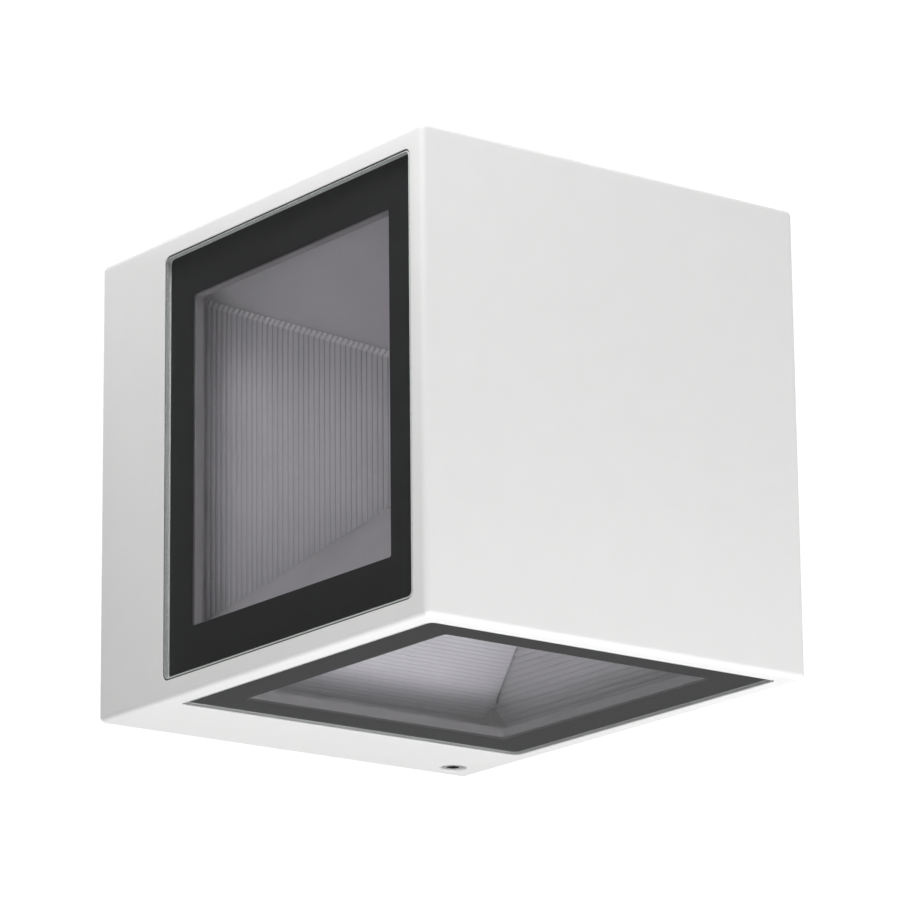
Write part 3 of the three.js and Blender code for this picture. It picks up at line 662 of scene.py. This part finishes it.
def add_reflector(name, turn, low_turned, high_turned):
    """One face of the ribbed pyramid, made facing up and turned to its side."""
    upright = name in ("left", "right")
    slope_out, slope_across = (SLOPE_X, SLOPE_Z) if upright else (SLOPE_Z, SLOPE_X)
    pad_out, pad_across = (PAD_X, PAD_Z) if upright else (PAD_Z, PAD_X)
    ratio = slope_across / slope_out
    run = PANEL_END - PYRAMID_BASE
    length = run * math.hypot(1, slope_out)
    start = (APEX - PYRAMID_BASE) * slope_out
    down, forward = slope_out * run / length, run / length
    stations = rib_stations(length, RIB_PITCH, RIB_HEIGHT)
    last = stations[-1][0]
    low_columns = [(-1, *c) for c in reversed(end_columns(low_turned, ratio, forward))]
    columns = low_columns + [(1, *c) for c in end_columns(high_turned, ratio, forward)]

    def place(side, distance, lift, lean, s):
        reach = min(s + lean, last)
        out = start - down * reach + forward * lift
        y = -PYRAMID_BASE - forward * reach - down * lift
        half = (out - FIT) * ratio - distance
        if -y < PAD_FRONT and out > pad_out:
            half = min(half, pad_across)
        return side * max(half, 0.2), y, out

    points = []
    for s, h in stations:
        for side, distance, lift, lean, angle, share in columns:
            level = h * share - RIB_HEIGHT
            inward, above = distance + level * math.sin(angle), lift + level * math.cos(angle)
            points.append(place(side, inward, above, lean, s))
        for side in (1, -1):
            points.append(place(side, 0.0, -PANEL_THICKNESS - RIB_HEIGHT, 0.0, s))
    around = len(columns) + 2
    faces = strip_faces(len(stations), around)
    mesh = mesh_of("ribs_" + name, to_side(points, turn, 0), faces)
    smooth(mesh, math.radians(60))
    # Extra slots: a painted highlight on the turned rib ends and painted shade in the rib valleys.
    highlight_and_shade_slots = ["turned_end_painted_highlight", "painted_valley_shade"]
    piece = add_piece("ribs_" + name, mesh, "reflector_metal", "lamp_head", ["reflector_" + name], highlight_and_shade_slots)
    # Painted light: the top and bottom chambers take the brighter copy of the sheet.
    if not upright:
        piece.material_slots[0].material = material("painted_light_reflector")
    first_turned = len(columns) - 1 - TURN_STEPS
    for polygon in mesh.polygons:
        strip = (polygon.index - 2) % around
        at_low = low_turned and strip < TURN_STEPS
        at_high = high_turned and first_turned <= strip < len(columns) - 1
        step = (polygon.index - 2) // around % SAMPLES
        if polygon.index < 2 or strip >= len(columns) - 1:
            polygon.material_index = 0
        # Painted shade: faces at each rib's valley take the darker copy of the sheet.
        elif step in (0, SAMPLES - 1):
            polygon.material_index = 2
        else:
            # Painted highlight: the crests of the turned rib ends take the brighter, glossier copy.
            polygon.material_index = 1 if (at_low or at_high) and 2 <= step <= SAMPLES - 3 else 0


DIVIDER_START, DIVIDER_END = 39, 170.2
LOWER_CHEEK = 6.2
DIVIDER_RIB_PITCH, DIVIDER_RIB_HEIGHT = 2.2, 0.55
INNER_X, INNER_Z = 67, 70
DIVIDER_CLEAR = 4.5           # the dividers stop short of the nose


def divider_back(cheek, s):
    """Depth of the divider's smooth side below its ribbed side, rounded at its inner end."""
    depth = DIVIDER_THICKNESS + cheek
    if cheek == 0:
        return depth
    radius = cheek * 0.9
    short = max(0.0, radius - s)
    return depth - radius + math.sqrt(max(0.0, radius ** 2 - short ** 2))


def add_divider(vertical, sideways):
    """A divider on one diagonal, ribbed along Y towards the top or bottom chamber."""
    cheek = 0 if vertical > 0 else LOWER_CHEEK
    corner = (INNER_X - FIT, (INNER_X - FIT) * SLOPE_Z / SLOPE_X)
    length = math.hypot(*corner)
    along = (corner[0] / length, corner[1] / length)
    up = (-along[1], along[0])
    tip = APEX + (FIT + 0.1) / SLOPE_X
    inner = DIVIDER_CLEAR / along[1] + cheek * 0.2
    points = []
    for s, h in rib_stations(length, DIVIDER_RIB_PITCH, DIVIDER_RIB_HEIGHT):
        if s < inner:
            continue
        pair = []
        for height in (h, -divider_back(cheek, s - inner)):
            x = along[0] * s + up[0] * height
            z = along[1] * s + up[1] * height
            limit = min(1.0, (INNER_X - FIT) / max(x, 1e-6), (INNER_Z - FIT) / max(z, 1e-6))
            x, z = x * limit, max(z * limit, 1.0)
            depth = tip - max(x / SLOPE_X, z / SLOPE_Z)
            pair.append((x, z, min(max(depth, DIVIDER_START), DIVIDER_END - 0.2)))
        (tx, tz, td), (lx, lz, ld) = pair
        points += [(tx, -td, tz), (tx, -DIVIDER_END, tz), (lx, -DIVIDER_END, lz), (lx, -ld, lz)]
    points = [(sideways * x, y, vertical * z) for x, y, z in points]
    side = ("top" if vertical > 0 else "bottom") + ("_right" if sideways > 0 else "_left")
    mesh = mesh_of("wall_" + side, points, strip_faces(len(points) // 4))
    smooth(mesh, math.radians(60))
    add_piece("wall_" + side, mesh, "grey_plastic", "lamp_head", ["divider_" + side], ["painted_shade_cheek"])
    # Painted shade: the lower dividers' smooth side takes the darker copy of the grey.
    for polygon in mesh.polygons:
        smooth_side = polygon.index > 1 and (polygon.index - 2) % 4 == 2
        polygon.material_index = 1 if cheek and smooth_side else 0


# ------------------------------------------------------------------ turned pieces

def turned(profile, sides=48):
    """Points and faces of a body turned about Z.

    The profile is [radius, height] points that start and end on the axis.
    """
    points, faces, rings = [], [], []
    for radius, height in profile:
        if radius == 0:
            rings.append([len(points)])
            points.append((0, 0, height))
            continue
        rings.append(list(range(len(points), len(points) + sides)))
        for i in range(sides):
            angle = 2 * math.pi * i / sides
            points.append((radius * math.cos(angle), radius * math.sin(angle), height))
    for low, high in zip(rings, rings[1:]):
        for i in range(sides):
            j = (i + 1) % sides
            if len(low) == 1:
                faces.append((low[0], high[i], high[j]))
            elif len(high) == 1:
                faces.append((low[i], low[j], high[0]))
            else:
                faces.append((low[i], low[j], high[j], high[i]))
    return points, faces


def cut(mesh, cutters):
    """The mesh with each closed cutter, given as points and faces, taken out of it."""
    piece = bpy.data.objects.new("cut_piece", mesh)
    bpy.context.collection.objects.link(piece)
    tools = []
    for points, faces in cutters:
        tool = bpy.data.objects.new("cut_tool", mesh_of("cut_tool", points, faces))
        bpy.context.collection.objects.link(tool)
        modifier = piece.modifiers.new("cut", "BOOLEAN")
        modifier.operation = "DIFFERENCE"
        modifier.solver = "EXACT"
        modifier.object = tool
        tools.append(tool)
    bpy.context.view_layer.update()
    graph = bpy.context.evaluated_depsgraph_get()
    made = bpy.data.meshes.new_from_object(piece.evaluated_get(graph))
    for used in (piece, *tools):
        bpy.data.objects.remove(used)
    smooth(made)
    return made


def prism(outline, low, high):
    """Points and faces of an outline, as [x, y] points, between two heights."""
    return loft([[(x, y, low) for x, y in outline], [(x, y, high) for x, y in outline]])


def tapered_bar(length, width, low, high, taper):
    """A bar that narrows downward, as a cross recess does."""
    rings = []
    for height, scale in ((low, taper), (high, 1.0)):
        x, y = length / 2 * scale, width / 2 * scale
        rings.append([(-x, -y, height), (x, -y, height), (x, y, height), (-x, y, height)])
    return loft(rings)


def domed(radius, height, steps=6):
    """[radius, height] points over a pan head: short upright side, then a low dome."""
    points = [(radius - 0.1, 0), (radius, 0.1)]
    shoulder = height * 0.45
    for k in range(steps + 1):
        angle = math.pi / 2 * k / steps
        share = math.cos(angle) if k < steps else 0
        points.append((radius * share, shoulder + (height - shoulder) * math.sin(angle)))
    return points


def screw_mesh(head, height, shank, length):
    """A pan-head cross-recess screw, pointing down, with the underside of its head at height 0."""
    thread = []
    pitch, depth = 0.7, 0.12
    steps = int(length / pitch)
    for i in range(steps):
        level = -length + 0.4 + i * pitch
        thread += [(shank - depth, level), (shank, level + pitch / 2)]
    profile = [(0, -length), (shank * 0.55, -length)] + thread + [(shank, -0.05), (shank, 0)]
    profile += domed(head, height)
    points, faces = turned(profile, 40)
    mesh = mesh_of("screw", points, faces)
    reach, width, floor = head * 1.15, head * 0.26, height * 0.3
    bars = [tapered_bar(reach, width, floor, height + 1, 0.8)]
    crossed = [(-y, x, z) for x, y, z in bars[0][0]]
    bars.append((crossed, bars[0][1]))
    return cut(mesh, bars)


def add_screws(nodes, head, height, shank, length, facing):
    """Screws along Y where the CAD has them. Their heads face the wall, or the front when facing is -1."""
    base = screw_mesh(head, height, shank, length)
    for node in nodes:
        low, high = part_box(node)
        mesh = base.copy()
        mesh.name = node + "_finish"
        lift = high.y - height * MM if facing > 0 else low.y + height * MM
        place = Matrix.Translation(((low.x + high.x) / 2, lift, (low.z + high.z) / 2))
        mesh.transform(place @ Matrix.Rotation(math.radians(-90 * facing), 4, "X"))
        add_piece(node + "_finish", mesh, "steel", frame["nodes"][node]["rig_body"], [node])


def add_fixing_screw():
    """The M5 socket-head screw: knurled head with a chamfer, hexagon socket, threaded shank."""
    low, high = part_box("fixing_screw")
    head, rise, shank = 4.25, 4.2, 2.4
    chamfer, edge = 0.45, 0.15
    length = (high.z - low.z) / MM
    profile = [(0, 0), (head - chamfer, 0), (head - 0.08, chamfer * 0.8), (head, chamfer + edge)]
    profile += [(head, rise - edge), (head - edge, rise), (shank, rise)]
    pitch, thread_depth = 0.8, 0.25
    for i in range(int((length - rise) / pitch)):
        level = rise + 0.2 + i * pitch
        profile += [(shank, level), (shank - thread_depth, level + pitch / 2)]
    profile += [(shank - 0.3, length), (0, length)]
    points, faces = turned(profile, 96)
    knurl = 0.09
    for i, (x, y, z) in enumerate(points):
        if abs(math.hypot(x, y) - head) < 1e-6:
            groove = 1 - knurl / head * (i % 2)
            points[i] = (x * groove, y * groove, z)
    flats, socket_depth = 4, 2.6
    socket = flats / math.sqrt(3)
    corners = [math.radians(60 * k) for k in range(6)]
    hexagon = [(socket * math.cos(a), socket * math.sin(a)) for a in corners]
    mesh = cut(mesh_of("fixing_screw_finish", points, faces), [prism(hexagon, -1, socket_depth)])
    mesh.transform(Matrix.Translation(((low.x + high.x) / 2, (low.y + high.y) / 2, low.z)))
    smooth(mesh, math.radians(30))
    mesh.name = "fixing_screw_finish"
    piece = add_piece("fixing_screw_finish", mesh, "steel", "screw", ["fixing_screw"], ["socket_painted_shade"])
    middle = (low + high) / 2
    # Painted shade: faces down in the socket take the near-black copy of the steel.
    for polygon in mesh.polygons:
        radius = math.hypot(polygon.center.x - middle.x, polygon.center.y - middle.y)
        depth = polygon.center.z - low.z
        polygon.material_index = 1 if radius < (socket + 0.1) * MM and 0.1 * MM < depth < 3 * MM else 0
    bevelled(piece, 0.08, 40)


def add_o_ring():
    low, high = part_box("screw_o_ring")
    outer, inner, height = (high.x - low.x) / 2 / MM, 2.65, (high.z - low.z) / MM
    middle, breadth, tall = (outer + inner) / 2, (outer - inner) / 2, height / 2
    sides, around = 48, 12
    points, faces = [], []
    for i in range(sides):
        angle = 2 * math.pi * i / sides
        for k in range(around):
            turn = 2 * math.pi * k / around
            radius = middle + breadth * math.cos(turn)
            points.append((radius * math.cos(angle), radius * math.sin(angle), tall * math.sin(turn)))
            a, b = i * around + k, i * around + (k + 1) % around
            shift = around if i < sides - 1 else -i * around
            faces.append((a, b, b + shift, a + shift))
    mesh = mesh_of("screw_o_ring_finish", points, faces)
    mesh.transform(Matrix.Translation((low + high) / 2))
    add_piece("screw_o_ring_finish", mesh, "black_rubber", "screw_ring", ["screw_o_ring"])


def add_led(node):
    """A round LED base with its moulded dome, facing the wall."""
    low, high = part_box(node)
    base, dome, rise = 3.0, 2.6, 0.9
    profile = [(0, 0), (base - 0.1, 0), (base, 0.1), (base, rise - 0.15), (base - 0.15, rise)]
    steps = 10
    for k in range(steps + 1):
        angle = math.pi / 2 * k / steps
        radius = dome * math.cos(angle) if k < steps else 0
        profile.append((radius, rise + dome * math.sin(angle)))
    points, faces = turned(profile)
    mesh = mesh_of(node + "_finish", points, faces)
    place = Matrix.Translation(((low.x + high.x) / 2, low.y, (low.z + high.z) / 2))
    mesh.transform(place @ Matrix.Rotation(math.radians(-90), 4, "X"))
    add_piece(node + "_finish", mesh, "led_lens", "lamp_head", [node])


def rounded_lead(node, slot):
    """A CAD lead with its faceted section made round."""
    piece = refined(node, slot, 0)
    for edge in piece.data.edges:
        edge.use_edge_sharp = False
    creases = piece.data.attributes.new("crease_edge", "FLOAT", "EDGE")
    ends = {key for polygon in piece.data.polygons if len(polygon.vertices) > 4 for key in polygon.edge_keys}
    creases.data.foreach_set("value", [1.0 if edge.key in ends else 0.0 for edge in piece.data.edges])
    modifier = piece.modifiers.new("round", "SUBSURF")
    modifier.levels = modifier.render_levels = 2
    return piece


BEAD_DEPTH, BEAD_FINISH = 1.1, 0.4    # the CAD's bead and the struck-off bead, below the outer face


def add_seal(name, turn, reach):
    """The black seal, its bead struck off just below the casting's face."""
    piece = refined("glass_seal_" + name, "silicone", 0)
    spin = Matrix.Rotation(math.radians(turn), 3, "Y")
    back = spin.inverted()
    for vertex in piece.data.vertices:
        point = back @ vertex.co
        if abs(point.z - (reach - BEAD_DEPTH) * MM) < 0.05 * MM:
            point.z = (reach - BEAD_FINISH) * MM
            vertex.co = spin @ point


def add_housing():
    """The casting with rounded edges, its inside faces set darker grey."""
    piece = refined("housing", "powder_coat", 0.3)
    piece.data.materials.append(material("inner_grey"))
    inside_x, inside_z = INNER_X + 3.05, INNER_Z + 3.05
    # Faces inside the openings and the cavity take the darker grey.
    for polygon in piece.data.polygons:
        x, y, z = (value / MM for value in polygon.center)
        if abs(x) < inside_x and abs(z) < inside_z and -y > 1 and DEPTH + y > 3:
            polygon.material_index = 1
    return piece


# ------------------------------------------------------------------ build

# CAD nodes whose shape is kept, with their material and the rounding of their edges in millimetres
KEPT = [
    ("wall_seal", "black_rubber", 0.25),
    ("reflector_nose", "grey_plastic", 0.3),
    ("reflector_base_ring", "grey_plastic", 0.2),
    ("carrier_plate", "galvanised", 0.25),
    ("carrier_gasket", "black_rubber", 0.3),
    ("lead_grommet", "black_rubber", 0.25),
    ("led_board", "white_board", 0.15),
    ("thermal_pad", "thermal_foil", 0.08),
    ("driver", "driver_case", 0.4),
    ("plug_connector", "white_board", 0.3),
    ("wall_plate", "galvanised", 0.3),
    ("cable_grommet", "black_rubber", 0.35),
    ("terminal_block", "grey_plastic", 0.3),
]
# stem of the nodes' names, how many, head radius and height, shank radius and length in millimetres,
# and 1 where the heads face the wall or -1 where they face the front
SCREWS = [
    ("carrier_screw", 4, 2.8, 2, 1.4, 8, 1),
    ("led_board_screw", 2, 2.4, 1.6, 1.0, 4.8, 1),
    ("driver_screw", 2, 2.8, 2, 1.2, 4.4, 1),
    ("terminal_screw", 2, 2.8, 2, 1.2, 5.6, -1),
]
EARTH_SCREW = (3.5, 2.4, 1.5, 2.8, -1)
LEADS = [
    ("plug_lead_live", "brown_lead"),
    ("plug_lead_neutral", "blue_lead"),
    ("plug_lead_earth", "green_lead"),
    ("led_lead_plus", "red_lead"),
    ("led_lead_minus", "black_lead"),
]

add_camera()
add_studio()
add_floor()

add_housing()
for side_name, turn, reach, breadth in SIDES:
    add_pane(side_name, turn, reach, breadth)
    add_seal(side_name, turn, reach)
    add_reflector(side_name, turn, side_name == "right", side_name == "left")
    add_led("led_" + side_name)
for vertical in (1, -1):
    for sideways in (1, -1):
        add_divider(vertical, sideways)
for node_name, slot_name, rounding in KEPT:
    refined(node_name, slot_name, rounding)
for node_name, slot_name in LEADS:
    rounded_lead(node_name, slot_name)
for stem, count, *measures in SCREWS:
    add_screws([f"{stem}_{i + 1}" for i in range(count)], *measures)
add_screws(["earth_screw"], *EARTH_SCREW)
add_fixing_screw()
add_o_ring()

left_over = sorted(name for name, node in frame["nodes"].items() if not node.hide_render)
if left_over:
    raise RuntimeError("CAD nodes without a finish: " + ", ".join(left_over))
